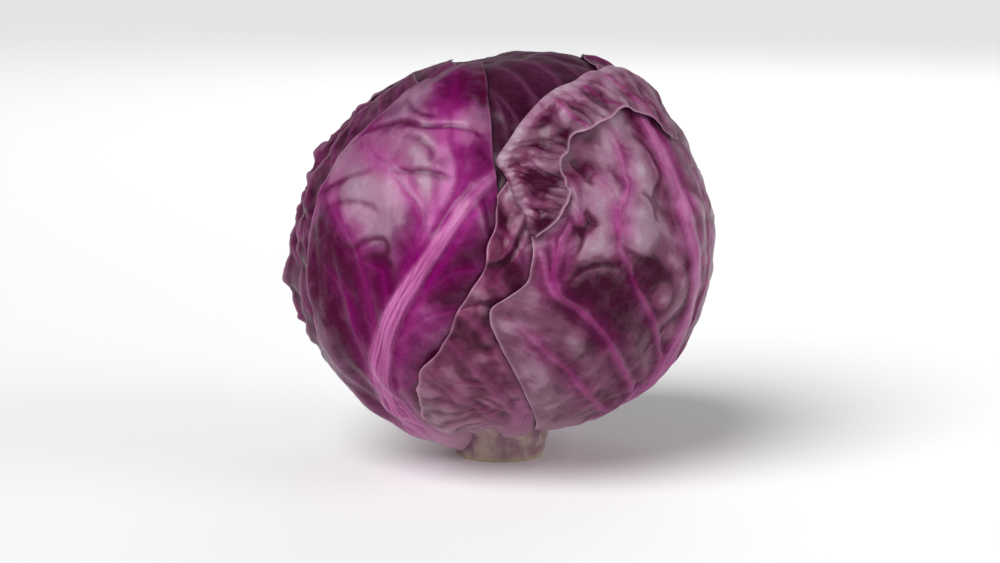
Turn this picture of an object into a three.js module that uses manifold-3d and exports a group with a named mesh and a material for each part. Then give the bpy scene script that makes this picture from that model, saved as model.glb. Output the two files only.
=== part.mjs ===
// A whole red cabbage, cut from its plant: a tight heart, fourteen separate leaves wrapped round it from the
// innermost to the outermost, and the cut stem that they all grow from.
// Millimetres, +Z up. The origin is the centre of the stem's cut face, which the head stands on.
// The front is -Y. An azimuth is measured in degrees round +Z, from the front towards +X.
import * as THREE from "three";
import { mergeVertices } from "three/addons/utils/BufferGeometryUtils.js";
import Module from "manifold-3d";

const wasm = await Module();
wasm.setup();

// Driving dimensions of the head
const CENTRE_HEIGHT = 84; // from the surface that it stands on
const HEART_RADIUS = 78.5; // level
const HEART_TOP = 73; // centre to crown
const HEART_BOTTOM = 66; // centre to underside
const LEAN = 0.05; // how much fuller the upper half is on the right than in the middle

// Driving dimensions of a leaf
const LEAF_THICKNESS = 1.1;
const LEAF_GAP = 0.5; // between a leaf and what it lies on
const RIB_THICKNESS = 2.2; // what the midrib adds at the leaf's base
const RIB_HALF_WIDTH = 9; // degrees
const BASE_ANGLE = 14; // where a leaf starts, in degrees from straight down
const BASE_HALF_WIDTH = 8; // degrees

// Driving dimensions of the stem
const STEM_RADIUS = 18;
const STEM_TOP_RADIUS = 20.5;
const STEM_HEIGHT = 17;
const STEM_CHAMFER = 1.5;
const STEM_SIDES = 40;
const STEM_CLEARANCE = 0.5;

// How finely the round shapes and the leaves' outlines are divided
const GRID_DETAIL = 5;
const OUTLINE_ROWS = 18;
const OUTLINE_COLUMNS = 14;
const SAMPLE_ROWS = 24;
const SAMPLE_COLUMNS = 18;

// The leaves, from the innermost to the outermost. Angles are in degrees. A leaf's midrib starts at the stem
// in the direction of its azimuth and climbs the head, turning to its right by bend. tip is how far the leaf
// reaches along the midrib, skew is how much further its right side reaches than its middle, and round is how
// far both its corners fall short. left and right are its widths each side of the midrib, at even steps to the
// tip.
const HEART_LEAF = {
  bend: 0, tip: 170, skew: 0, round: 26, color: 0x8c4a78,
  left: [36, 55, 62, 58, 34], right: [36, 55, 62, 58, 34],
};
const HEART_LEAVES = [1, 2, 3, 4].map((number) => {
  const goldenAngle = 137.5;
  return { name: `heart_leaf_${number}`, azimuth: 20 + (number - 1) * goldenAngle, ...HEART_LEAF };
});
const OUTER_LEAVES = [
  {
    name: "right_inner_leaf", azimuth: 146, bend: -0.1, tip: 176, skew: 0, round: 24, color: 0x6d2a5c,
    left: [34, 52, 60, 56, 36], right: [36, 54, 60, 52, 30],
  },
  {
    name: "crown_leaf", azimuth: -108, bend: 0.05, tip: 224, skew: 6, round: 10, color: 0x581442,
    left: [32, 48, 56, 54, 34], right: [34, 50, 58, 62, 52],
  },
  {
    name: "left_side_leaf", azimuth: -142, bend: 0.1, tip: 158, skew: -6, round: 20, color: 0x7a4066,
    left: [34, 52, 60, 52, 32], right: [34, 56, 68, 62, 36],
  },
  {
    name: "back_right_leaf", azimuth: 116, bend: -0.15, tip: 157, skew: 0, round: 20, color: 0x8a5a7c,
    left: [34, 50, 56, 52, 32], right: [36, 54, 60, 54, 34],
  },
  {
    name: "left_inner_leaf", azimuth: -70, bend: 0.3, tip: 155, skew: -8, round: 3, color: 0x8b516c,
    left: [16, 19, 28, 36, 40], right: [30, 42, 46, 40, 28],
  },
  {
    name: "front_inner_leaf", azimuth: -40, bend: 0.4, tip: 121, skew: -26, round: 2, color: 0x8b516c,
    left: [34, 41, 55, 56, 60], right: [26, 36, 40, 38, 30],
  },
  {
    name: "front_left_leaf", azimuth: -56, bend: 0.48, tip: 134, skew: -23, round: 2, color: 0xa8508f,
    left: [16, 24, 38, 41, 50], right: [26, 36, 42, 44, 42],
  },
  {
    name: "back_leaf", azimuth: 176, bend: 0.12, tip: 153, skew: 0, round: 20, color: 0x8f5a80,
    left: [34, 52, 58, 52, 34], right: [36, 54, 60, 54, 34],
  },
  {
    name: "front_middle_leaf", azimuth: 12, bend: -0.05, tip: 125, skew: 0, round: 10, color: 0x64264b,
    left: [24, 30, 25, 14, 7.5], right: [30, 44, 50, 44, 24],
  },
  {
    name: "front_right_leaf", azimuth: 59, bend: 0, tip: 148.7, skew: 0, round: 2, color: 0x9d7590,
    left: [24, 42, 55, 61, 52, 49, 48, 46], right: [34, 52, 57, 55, 42],
  },
];
const HEART_COLOR = 0x9a5a86;
const STEM_COLOR = 0xe6dcb0;
const LEAF_ROUGHNESS = 0.5;
const STEM_ROUGHNESS = 0.75;

const radians = THREE.MathUtils.degToRad;
const DOWN = new THREE.Vector3(0, 0, -1);
const CENTRE = new THREE.Vector3(0, 0, CENTRE_HEIGHT);

// A point on the unit sphere, along degrees up a leaf's midrib and across degrees to its right.
// The midrib is an arc of a circle on the sphere, so each point of it is the lowest one turned about one axis.
function pointOnLeaf(leaf, along, across) {
  const azimuth = radians(leaf.azimuth);
  const heading = new THREE.Vector3(Math.sin(azimuth), -Math.cos(azimuth), 0);
  const right = heading.clone().cross(DOWN);
  const arcRadius = Math.atan2(1, leaf.bend);
  const axis = DOWN.clone()
    .multiplyScalar(Math.cos(arcRadius))
    .addScaledVector(right, Math.sin(arcRadius));
  const turn = new THREE.Quaternion().setFromAxisAngle(axis, -radians(along) / Math.sin(arcRadius));
  return DOWN.clone()
    .multiplyScalar(Math.cos(radians(across)))
    .addScaledVector(right, Math.sin(radians(across)))
    .applyQuaternion(turn);
}

// A leaf's width on one side of its midrib, in degrees: a smooth curve through the evenly spaced widths.
function widthAt(widths, u) {
  const points = [BASE_HALF_WIDTH, ...widths].map((width, i) => new THREE.Vector2(i, width));
  return new THREE.SplineCurve(points).getPoint(u).y;
}

// A leaf's own coordinates: u goes from 0 at its base to 1 at its tip, and v from -1 at its left to 1 at its
// right.
function leafPoint(leaf, u, v) {
  const end = leaf.tip + leaf.skew * v - leaf.round * v * v;
  const along = THREE.MathUtils.lerp(BASE_ANGLE, end, u);
  const across = THREE.MathUtils.lerp(-widthAt(leaf.left, u), widthAt(leaf.right, u), (v + 1) / 2);
  return pointOnLeaf(leaf, along, across);
}

// The heart's radius in a direction: an egg shape that leans a little to the right.
function heartRadius(direction) {
  const rise = Math.max(direction.z, 0);
  const fullness = 1 + LEAN * direction.x * rise;
  const level = Math.hypot(direction.x, direction.y) / HEART_RADIUS;
  const vertical = direction.z / (direction.z > 0 ? HEART_TOP : HEART_BOTTOM);
  return fullness / Math.hypot(level, vertical);
}

// A copy of a three.js geometry that keeps only its positions, with shared corners merged.
function weld(geometry) {
  const bare = geometry.clone();
  bare.deleteAttribute("normal");
  bare.deleteAttribute("uv");
  return mergeVertices(bare, 1e-4);
}

// One set of directions serves every round shape, so one leaf's flat faces nest exactly in the next one's.
const GRID = weld(new THREE.IcosahedronGeometry(1, GRID_DETAIL));
const DIRECTIONS = [];
for (let i = 0; i < GRID.attributes.position.count; i++) {
  DIRECTIONS.push(new THREE.Vector3().fromBufferAttribute(GRID.attributes.position, i).normalize());
}

// The longest side of the grid's triangles, as an angle seen from the centre.
function longestGridSide() {
  const corners = GRID.index.array;
  let longest = 0;
  for (let i = 0; i < corners.length; i += 3) {
    const [a, b, c] = [0, 1, 2].map((k) => DIRECTIONS[corners[i + k]]);
    longest = Math.max(longest, a.angleTo(b), b.angleTo(c), c.angleTo(a));
  }
  return longest;
}
const GRID_SIDE = longestGridSide();

// A closed solid from a list of points and the triangles between them.
function solidFrom(points, triangles) {
  const vertProperties = new Float32Array(points.flatMap((point) => point.toArray()));
  const triVerts = new Uint32Array(triangles);
  return new wasm.Manifold(new wasm.Mesh({ numProp: 3, vertProperties, triVerts }));
}

// A closed three.js geometry as a solid.
function solidOf(geometry) {
  const { attributes, index } = weld(geometry);
  const vertProperties = new Float32Array(attributes.position.array);
  const triVerts = new Uint32Array(index.array);
  return new wasm.Manifold(new wasm.Mesh({ numProp: 3, vertProperties, triVerts }));
}

// A solid as a three.js geometry.
function geometryOf(solid) {
  const { vertProperties, triVerts } = solid.getMesh();
  const geometry = new THREE.BufferGeometry();
  geometry.setAttribute("position", new THREE.BufferAttribute(new Float32Array(vertProperties), 3));
  geometry.setIndex(new THREE.BufferAttribute(new Uint32Array(triVerts), 1));
  geometry.computeVertexNormals();
  return geometry;
}

// A ball round the head's centre, with its own radius in each direction of the grid.
function ballOf(radii) {
  const points = DIRECTIONS.map((direction, i) => direction.clone().multiplyScalar(radii[i]).add(CENTRE));
  return solidFrom(points, GRID.index.array);
}

// A cone from well inside the head to well outside it, whose cross-section is the leaf's outline.
function outlineCone(leaf) {
  const innerRadius = 0.45 * HEART_RADIUS;
  const outerRadius = 1.6 * HEART_RADIUS;
  const sheetSize = (OUTLINE_ROWS + 1) * (OUTLINE_COLUMNS + 1);
  const corner = (row, column) => row * (OUTLINE_COLUMNS + 1) + column;
  const points = [];
  for (const radius of [innerRadius, outerRadius]) {
    for (let row = 0; row <= OUTLINE_ROWS; row++) {
      for (let column = 0; column <= OUTLINE_COLUMNS; column++) {
        const direction = leafPoint(leaf, row / OUTLINE_ROWS, (2 * column) / OUTLINE_COLUMNS - 1);
        points.push(direction.multiplyScalar(radius).add(CENTRE));
      }
    }
  }
  const triangles = [];
  const addSquare = (a, b, c, d) => triangles.push(a, b, c, a, c, d);
  for (let row = 0; row < OUTLINE_ROWS; row++) {
    for (let column = 0; column < OUTLINE_COLUMNS; column++) {
      const square = [
        corner(row, column),
        corner(row, column + 1),
        corner(row + 1, column + 1),
        corner(row + 1, column),
      ];
      addSquare(...square.map((i) => i + sheetSize));
      addSquare(...square.reverse());
    }
  }
  const border = [];
  for (let column = 0; column < OUTLINE_COLUMNS; column++) border.push(corner(0, column));
  for (let row = 0; row < OUTLINE_ROWS; row++) border.push(corner(row, OUTLINE_COLUMNS));
  for (let column = OUTLINE_COLUMNS; column > 0; column--) border.push(corner(OUTLINE_ROWS, column));
  for (let row = OUTLINE_ROWS; row > 0; row--) border.push(corner(row, 0));
  border.forEach((here, i) => {
    const next = border[(i + 1) % border.length];
    addSquare(here, next, next + sheetSize, here + sheetSize);
  });
  return solidFrom(points, triangles);
}

// How thick a leaf is in each direction of the grid, or 0 where it reaches none of the triangles round it.
function thicknesses(leaf) {
  const samples = [];
  for (let row = 0; row <= SAMPLE_ROWS; row++) {
    for (let column = 0; column <= SAMPLE_COLUMNS; column++) {
      const u = row / SAMPLE_ROWS;
      const v = (2 * column) / SAMPLE_COLUMNS - 1;
      const across = v * widthAt(v < 0 ? leaf.left : leaf.right, u);
      samples.push({ direction: leafPoint(leaf, u, v), u, across });
    }
  }
  return DIRECTIONS.map((direction) => {
    let nearest = null;
    let closest = Math.cos(GRID_SIDE);
    for (const sample of samples) {
      const closeness = sample.direction.dot(direction);
      if (closeness > closest) {
        closest = closeness;
        nearest = sample;
      }
    }
    if (!nearest) return 0;
    const rib = Math.exp(-((nearest.across / RIB_HALF_WIDTH) ** 2)) * (1 - nearest.u) ** 1.5;
    return LEAF_THICKNESS + RIB_THICKNESS * rib;
  });
}

// The stem: a stump with a flat cut face, a little wider where it enters the head. grow is added all round.
function stemGeometry(grow) {
  const profile = [
    [0, 0],
    [STEM_RADIUS - STEM_CHAMFER + grow, 0],
    [STEM_RADIUS + grow, STEM_CHAMFER],
    [STEM_TOP_RADIUS + grow, STEM_HEIGHT],
    [0, STEM_HEIGHT + grow],
  ];
  const points = profile.map(([radius, height]) => new THREE.Vector2(radius, height));
  return new THREE.LatheGeometry(points, STEM_SIDES).rotateX(Math.PI / 2);
}

const cabbage = new THREE.Group();

function addPart(name, geometry, color, roughness) {
  const material = new THREE.MeshStandardMaterial({ color, roughness, metalness: 0, flatShading: true });
  const mesh = new THREE.Mesh(geometry, material);
  mesh.name = name;
  cabbage.add(mesh);
}

const stemSpace = solidOf(stemGeometry(STEM_CLEARANCE));
addPart("cut_stem", stemGeometry(0), STEM_COLOR, STEM_ROUGHNESS);

// The radius of what has been laid so far, in each direction: a leaf lies on it and then becomes part of it.
let laid = DIRECTIONS.map(heartRadius);
addPart("heart", geometryOf(ballOf(laid).subtract(stemSpace)), HEART_COLOR, LEAF_ROUGHNESS);

for (const leaf of [...HEART_LEAVES, ...OUTER_LEAVES]) {
  const thickness = thicknesses(leaf);
  const inside = laid.map((radius) => radius + LEAF_GAP);
  const outside = inside.map((radius, i) => radius + (thickness[i] || LEAF_THICKNESS));
  const shell = ballOf(outside).subtract(ballOf(inside));
  const solid = shell.intersect(outlineCone(leaf)).subtract(stemSpace);
  addPart(leaf.name, geometryOf(solid), leaf.color, LEAF_ROUGHNESS);
  laid = laid.map((radius, i) => (thickness[i] ? outside[i] : radius));
}

export default cabbage;
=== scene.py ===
"""How the red cabbage looks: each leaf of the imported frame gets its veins, folds, frills and colours.

The leaves are laid over the heart one by one, as in the CAD model, so each one shows what lies under it.
A leaf is worked out in millimetres and degrees, and its mesh is made in metres.
The front is -Y. An azimuth is measured in degrees round +Z, from the front towards +X.
"""
import math
from dataclasses import dataclass
from functools import lru_cache

import bpy
import numpy as np
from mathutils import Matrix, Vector


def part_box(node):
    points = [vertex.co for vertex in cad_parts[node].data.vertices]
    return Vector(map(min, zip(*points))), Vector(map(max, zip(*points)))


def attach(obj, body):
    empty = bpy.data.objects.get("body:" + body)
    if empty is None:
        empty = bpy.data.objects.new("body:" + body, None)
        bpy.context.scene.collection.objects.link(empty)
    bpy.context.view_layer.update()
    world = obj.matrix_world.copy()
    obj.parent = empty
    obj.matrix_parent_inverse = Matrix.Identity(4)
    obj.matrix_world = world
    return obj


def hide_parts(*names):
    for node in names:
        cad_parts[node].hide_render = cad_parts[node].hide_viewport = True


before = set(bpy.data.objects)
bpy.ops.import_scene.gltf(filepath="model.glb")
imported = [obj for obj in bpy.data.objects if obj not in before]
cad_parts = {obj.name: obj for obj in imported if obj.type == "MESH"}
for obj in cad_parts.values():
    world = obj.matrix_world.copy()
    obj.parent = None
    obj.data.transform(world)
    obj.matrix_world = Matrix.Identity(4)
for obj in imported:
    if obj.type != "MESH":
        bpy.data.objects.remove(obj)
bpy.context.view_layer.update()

# The head's driving dimensions, as in the CAD model but for the crown, in millimetres
MM = 0.001
HEAD_CENTRE = np.array([0.0, 0.0, 84.0])
HEART_RADIUS = 78.5
HEART_TOP = 76.5  # the CAD model's is lower, because its leaves lie thicker on it
HEART_BOTTOM = 66.0
LEAN = 0.05  # how much fuller the upper half is on the right than in the middle
BASE_ANGLE = 14.0  # where a leaf starts, in degrees from straight down
BASE_HALF_WIDTH = 8.0  # degrees

# How the leaves lie, in millimetres
DEGREE = 1.5  # the length of a degree along a leaf
LEAF_THICKNESS = 0.8
EDGE_THICKNESS = 0.3
EDGE_TAPER = 6.0  # how far inside its edge a leaf has its full thickness
LEAF_GAP = 0.8
GAP_TAPER = 12.0  # how far inside its edge it has its full gap
LEAST_GAP = 0.1
FLOOR_CLEARANCE = 0.8
DRAPE_REACH = 2.5  # how far a leaf bridges over an edge that lies under it
DRAPE_SOFTNESS = 3.0


# ---- curves, noise and filters

def smoothstep(low, high, x):
    t = np.clip((x - low) / (high - low), 0.0, 1.0)
    return t * t * (3.0 - 2.0 * t)


def bell(x, width):
    """1 where x is 0, falling smoothly to almost 0 at twice the width."""
    return np.exp(-((x / width) ** 2))


def spline(values, u):
    """A smooth curve (Catmull-Rom) through evenly spaced values, at u from 0 to 1."""
    values = np.asarray(values, float)
    last = len(values) - 1
    position = np.clip(u, 0.0, 1.0) * last
    i = np.minimum(position.astype(int), last - 1)
    w = position - i
    p0, p1, p2, p3 = (values[np.clip(i + k, 0, last)] for k in (-1, 0, 1, 2))
    slope1, slope2 = (p2 - p0) / 2, (p3 - p1) / 2
    cubic = 2 * p1 - 2 * p2 + slope1 + slope2
    square = 3 * p2 - 3 * p1 - 2 * slope1 - slope2
    return cubic * w**3 + square * w**2 + slope1 * w + p1


def spline_line(points, s):
    """A smooth line through (along, across) points, at s from 0 to 1."""
    points = np.asarray(points, float)
    return np.stack([spline(points[:, k], s) for k in (0, 1)], -1)


NOISE_SIZE = 256
VALLEY_SOFTNESS = 0.12


@lru_cache(maxsize=None)
def noise_slopes(seed):
    angle = np.random.default_rng(seed).uniform(0.0, 2 * math.pi, (NOISE_SIZE, NOISE_SIZE))
    return np.cos(angle), np.sin(angle)


def noise(x, y, seed):
    """Smooth noise from about -1 to 1, with one bump to each unit of x and y."""
    x, y = np.broadcast_arrays(np.asarray(x, float), np.asarray(y, float))
    slope_x, slope_y = noise_slopes(seed)
    xi, yi = np.floor(x).astype(int), np.floor(y).astype(int)
    fx, fy = x - xi, y - yi
    wx = fx**3 * (fx * (fx * 6 - 15) + 10)
    wy = fy**3 * (fy * (fy * 6 - 15) + 10)

    def corner(i, j):
        row, column = (xi + i) % NOISE_SIZE, (yi + j) % NOISE_SIZE
        return slope_x[row, column] * (fx - i) + slope_y[row, column] * (fy - j)

    low = corner(0, 0) * (1 - wx) + corner(1, 0) * wx
    high = corner(0, 1) * (1 - wx) + corner(1, 1) * wx
    return 1.5 * (low * (1 - wy) + high * wy)


def layered_noise(x, y, seed, layers):
    total = sum(noise(x * 2**k + 17.3 * k, y * 2**k - 9.1 * k, seed + k) / 2**k for k in range(layers))
    return total / (2 - 2.0 ** (1 - layers))


def bulges(x, y, size, seed):
    """Rounded bulges of about one size with valleys between them, from 0 to 1."""
    bend_x, bend_y = (noise(x / size / 1.7, y / size / 1.7, seed + k) for k in (101, 102))
    height = noise(x / size + 0.5 * bend_x, y / size + 0.5 * bend_y, seed)
    height = np.hypot(height, VALLEY_SOFTNESS) - VALLEY_SOFTNESS
    return np.clip(height * 1.6, 0.0, 1.0)


def line_distance(x, y, line, reach):
    """Each point's distance from a line, how far along it that is (0 to 1), and the side (+1 on the left).

    Beyond reach the distance isn't worked out, and is just large.
    """
    distance, along, side = np.full(x.shape, 99.0), np.zeros(x.shape), np.ones(x.shape)
    low, high = line.min(0) - reach, line.max(0) + reach
    near = (x > low[0]) & (x < high[0]) & (y > low[1]) & (y < high[1])
    px, py = x[near], y[near]
    best, best_along, best_side = distance[near], along[near], side[near]
    for k, (start, step) in enumerate(zip(line[:-1], np.diff(line, axis=0))):
        dx, dy = px - start[0], py - start[1]
        t = np.clip((dx * step[0] + dy * step[1]) / max(step @ step, 1e-9), 0.0, 1.0)
        gap = np.hypot(dx - t * step[0], dy - t * step[1])
        closer = gap < best
        best = np.where(closer, gap, best)
        best_along = np.where(closer, (k + t) / (len(line) - 1), best_along)
        best_side = np.where(closer, np.where(step[1] * dx > step[0] * dy, 1.0, -1.0), best_side)
    distance[near], along[near], side[near] = best, best_along, best_side
    return distance, along, side


def box_blur(values, radius, axis):
    """The mean of each value and its neighbours up to radius away along one axis."""
    if radius < 1:
        return values
    pad = [(0, 0)] * values.ndim
    pad[axis] = (radius + 1, radius)
    total = np.cumsum(np.pad(values, pad, mode="edge"), axis=axis)
    size, width = values.shape[axis], 2 * radius + 1
    high = np.take(total, np.arange(width, width + size), axis=axis)
    low = np.take(total, np.arange(0, size), axis=axis)
    return (high - low) / width


def blur(values, size, steps):
    """Values smoothed over a size in millimetres, on a grid whose rows and columns are steps apart."""
    for _ in range(2):
        for axis, step in enumerate(steps):
            values = box_blur(values, max(1, round(size / 2 / step)), axis)
    return values


def highest_near(values, size, steps):
    """The highest of each value and its neighbours up to size away, in millimetres."""
    for axis, step in enumerate(steps):
        radius = max(1, round(size / step))
        pad = [(0, 0), (0, 0)]
        pad[axis] = (radius, radius)
        padded, here = np.pad(values, pad, mode="edge"), np.arange(values.shape[axis])
        shifts = range(2 * radius + 1)
        values = np.max([np.take(padded, here + shift, axis=axis) for shift in shifts], axis=0)
    return values


def drape(bed, steps):
    """Where a leaf lies over an uneven bed: it bridges dips and rounds off edges."""
    return blur(highest_near(bed, DRAPE_REACH, steps), DRAPE_SOFTNESS, steps)


# ---- the leaves

@dataclass
class Vein:
    """A raised rib along points (along, across) in degrees, with half-widths and heights in millimetres."""
    points: list
    width: tuple
    height: tuple
    flush: float = 1.0  # how strongly it colours the leaf beside it


@dataclass
class Crease:
    """A fold along points (along, across): the leaf steps up by rise on the left, over a dip on the right.

    A negative rise lifts the right side instead.
    """
    points: list
    rise: float = 0.8
    dip: float = 0.5


OUTLINE_STEPS = 300
OUTLINE_V = np.linspace(-1.6, 1.6, OUTLINE_STEPS)
OUTLINE_U = np.linspace(0.0, 1.0, OUTLINE_STEPS)
WOBBLE_SIZE = 14.0  # the length of the outline's unevenness, in millimetres


@dataclass
class Leaf:
    # The outline, as in the CAD model
    name: str
    azimuth: float
    bend: float
    tip: float
    skew: float
    round: float
    left: list
    right: list
    # The colours and the mesh
    palette: str = "mauve"
    slot: str = "mauve_leaf"
    rows: int = 181
    columns: int = 151
    stride: int = 4  # the hidden side has one point for every few of the outer side's
    tone: float = 0.0  # how much paler the whole leaf is
    seed: int = 1
    # The relief, in millimetres
    quilt: float = 0.7  # how far the panels between veins swell
    bulge: float = 0.8
    bulge_size: float = 17.0
    wave: float = 0.8
    pleat: tuple = (0.2, 0.2)  # small pleats that run with the veins, on the left and the right
    flow: tuple = (16.0, 9.0, 0.75)  # how the veins leave the midrib: lag and reach in degrees, and slope
    midrib: tuple = (10.0, 1.4, 3.6, 0.5)  # half-widths at the base and the tip, and heights there
    spread: float = 1.0  # how much wider the midrib slopes off on its left
    spine: tuple = ((14, 0), (90, 0), (180, 0))  # the line of the midrib
    side_veins: bool = True
    rib_height: float = 1.0  # how high the side veins stand, as a part of their usual height
    veins: tuple = ()
    creases: tuple = ()
    # Spots are partly the leaf's own tone and partly painted highlight on swellings and painted shade in
    # hollows
    spots: tuple = ()  # (along, across, radius, amount): paler or darker places
    # The edges: left, tip and right
    frill: tuple = (1.6, 1.6, 1.6)  # how far they lift
    frill_length: float = 19.0
    # The edges carry a painted highlight, a pale line where the thin edge catches the light
    rim: tuple = (1.0, 1.0, 1.0)  # how pale they are
    wobble: float = 0.8  # how uneven the outline is
    cut: tuple = (0.0, 0.0)  # how far the tip's left and right corners are cut back, in degrees

    def __post_init__(self):
        turns = OUTLINE_U * self.tip * DEGREE / WOBBLE_SIZE
        wobble = self.wobble * smoothstep(0.1, 0.4, OUTLINE_U)
        self.outline = [
            spline([BASE_HALF_WIDTH, *widths], OUTLINE_U) + wobble * noise(turns, place, self.seed + 3)
            for widths, place in ((self.left, 5.5), (self.right, 0.5))
        ]
        self.ends = self.tip + self.skew * OUTLINE_V - self.round * OUTLINE_V**2
        self.ends += self.wobble * noise(OUTLINE_V * 5.0 + 40.0, 3.5, self.seed + 4)
        for amount, toward_corner in zip(self.cut, (-OUTLINE_V, OUTLINE_V)):
            self.ends -= amount * smoothstep(0.6, 1.15, toward_corner)

    def widths(self, u):
        """How far the leaf reaches to the left and to the right of its middle, in degrees."""
        return [np.interp(u, OUTLINE_U, side) for side in self.outline]

    def end(self, v):
        return np.interp(v, OUTLINE_V, self.ends)

    def steps(self):
        """How far apart the grid's rows and columns are, in millimetres."""
        length = (self.tip - BASE_ANGLE) * DEGREE
        width = (max(self.left) + max(self.right)) * DEGREE
        return length / (self.rows - 1), width / (self.columns - 1)


# The front leaves' veins, creases and spots. Each vein has its line, its half-widths and its heights at its
# ends, and its flush. Each spot is (along, across, radius, amount): a paler or darker place, partly the
# leaf's own tone and partly painted highlight on its swellings and painted shade in its hollows.
FRONT_LEFT_VEINS = (
    Vein([(104, 2), (115, -0.5), (123, -4), (126, -8.5), (131, -20), (136, -29), (144, -44)],
         (3.2, 2.0), (0.5, 0.2), 1.3),
    Vein([(98, 2), (106, -1), (111, -3.5), (113, -12), (114, -20), (113, -28), (114, -39)],
         (1.6, 0.9), (0.6, 0.3), 0.9),
    Vein([(72, 1), (82, -3), (90, -9), (94, -15), (96, -24), (99, -38)], (1.5, 0.9), (0.4, 0.2), 0.8),
    Vein([(86, 2), (93, -4), (93, -8), (93, -12), (95, -17)], (1.0, 0.5), (0.4, 0.2), 0.5),
    Vein([(56, 0), (70, -5), (80, -10), (83, -15), (84, -26)], (1.8, 0.8), (0.6, 0.3), 0.8),
    Vein([(82, 2), (92, 6), (101, 10), (107, 13), (114, 20)], (1.4, 0.7), (0.4, 0.2), 0.7),
    Vein([(66, 1), (80, 7), (92, 14), (104, 26)], (1.8, 0.8), (0.6, 0.3), 0.7),
    Vein([(48, 0), (62, 8), (76, 20), (86, 34)], (2.0, 0.8), (0.7, 0.3), 0.7),
)
FRONT_LEFT_CREASES = (
    Crease([(114, -40), (118, -36), (123, -30), (126, -23), (131, -19), (134, -15), (136, -10)], 1.1, 0.6),
    Crease([(97, -38), (99, -35), (103, -32), (107, -28), (111, -24)], 0.8, 0.35),
    Crease([(114, -20), (117, -15), (120, -11), (123, -5)], 0.8, 0.5),
    Crease([(96, -31), (100, -27), (103, -22), (105, -17), (105, -13)], 0.6, 0.25),
    Crease([(121, -26), (123, -21), (124, -16), (122, -12)], 0.8, 0.4),
    Crease([(128, -38), (127, -30), (128, -26), (131, -22)], 0.7, 0.3),
    Crease([(91, -22), (94, -16), (98, -13), (101, -9), (100, -6), (97, -5)], 0.9, 0.5),
)
FRONT_LEFT_SPOTS = (
    (121, -20, 7, 0.3), (101, -19, 8, 0.7), (110, -14, 7, 0.5), (109, -22, 6, 0.4), (118, -6, 5, 0.4),
    (106, -34, 6, 0.3), (136, -18, 6, 0.7), (130, -33, 5, 0.1), (98, -11, 4, 0.5),
    (141, -27, 8, -1.3), (150, -40, 12, -0.8), (130, -8, 5, -0.5), (91, -8, 8, -1.0), (85, -24, 12, -1.1),
    (111, 11, 9, -0.6), (101, 10, 9, -0.7), (103, -2, 4, -0.3), (122, -38, 4, -0.4), (76, -5, 16, -1.0),
    (50, 0, 22, -0.7), (93, -28, 5, -0.4),
)
FRONT_MIDDLE_CREASES = (
    Crease([(108, -1), (104, -3), (99, -6), (97, -9), (96, -16), (93, -20)], -1.6, 1.6),
    Crease([(92, -19), (94, -13), (91, -10)], -1.0, 0.8),
    Crease([(84, -21), (86, -15), (84, -9), (78, -5)], -1.0, 0.8),
)
FRONT_MIDDLE_SPOTS = (
    (106, -3, 3, 0.6), (114, -5, 4, 0.7), (101, -4, 3, 0.5), (88, -16, 5, 0.3), (112, -8, 3, -0.6),
    (106, -8, 3, -0.6), (94, -8, 5, -0.6), (78, -18, 9, -0.4),
)
FRONT_RIGHT_VEINS = (
    Vein([(60, 2), (76, -12), (86, -20), (92, -23), (99, -26), (106, -25), (117, -25), (132, -30)],
         (1.9, 0.9), (1.0, 0.4), 0.7),
    Vein([(105, -25), (110, -24), (112, -21), (116, -17), (119, -17), (124, -15), (129, -14), (142, -13)],
         (1.5, 0.9), (0.7, 0.3)),
    Vein([(48, 1), (66, -22), (80, -36), (86, -43), (92, -46), (100, -47), (108, -48)],
         (2.4, 1.6), (1.8, 1.2)),
    Vein([(88, -44), (94, -45), (102, -44), (109, -44)], (2.0, 1.3), (1.3, 1.0)),
    Vein([(94, -45), (98, -44), (105, -42), (109, -39), (113, -37)], (2.0, 1.4), (1.3, 1.1)),
    Vein([(110, -36), (114, -35.5), (119, -34.5), (124, -34.5), (128, -36)], (2.6, 2.0), (1.8, 1.5), 0.2),
    Vein([(38, 1), (52, -24), (64, -42), (76, -56)], (2.4, 1.0), (1.2, 0.5)),
    Vein([(60, 3), (78, 10), (92, 15), (108, 17), (126, 16), (144, 15)], (2.4, 1.2), (1.0, 0.4), 0.8),
    Vein([(54, 2), (68, 18), (82, 32), (100, 44), (120, 52)], (2.4, 1.0), (1.2, 0.4)),
    Vein([(40, 1), (50, 18), (62, 34), (74, 48)], (2.4, 1.0), (1.2, 0.4)),
)
FRONT_RIGHT_CREASES = (
    Crease([(129, -6), (126, -4), (121, -3), (116, -4), (112, -9), (109, -10), (105, -7)], -0.8, 0.6),
    Crease([(113, -14), (111, -12), (108, -11), (104, -12)], -0.8, 0.6),
    Crease([(129, -31), (124, -30), (118, -29)], -0.8, 0.8),
    Crease([(113, -33), (110, -32), (107, -31)], 0.8, 1.5),
    Crease([(101, -26), (97, -21), (95, -17), (90, -9)], 1.2, 0.4),
    Crease([(110, -38), (107, -36), (103, -36), (98, -40)], 0.8, 0.8),
    Crease([(93, -24), (95, -32), (94, -38), (90, -42)], 1.2, 0.4),
)
FRONT_RIGHT_SPOTS = (
    (132, -12, 5, 0.5), (115, -29, 5, 0.6), (118, -11, 6, 0.7), (106, -14, 5, 0.4), (99, -20, 5, 0.5),
    (127, -19, 5, 0.6), (100, -35, 6, 0.6), (105, -30, 4, 0.3), (112, -20, 4, 0.3), (122, -24, 4, 0.2),
    (91, -37, 7, -0.8), (93, -16, 6, -0.8), (125, -28, 4, -0.7), (108, -35, 3, -0.7), (131, -22, 4, -0.5),
    (112, -7, 4, -0.4), (80, -30, 12, -0.7), (60, 0, 26, -0.6), (88, -28, 7, -0.7),
)

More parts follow.
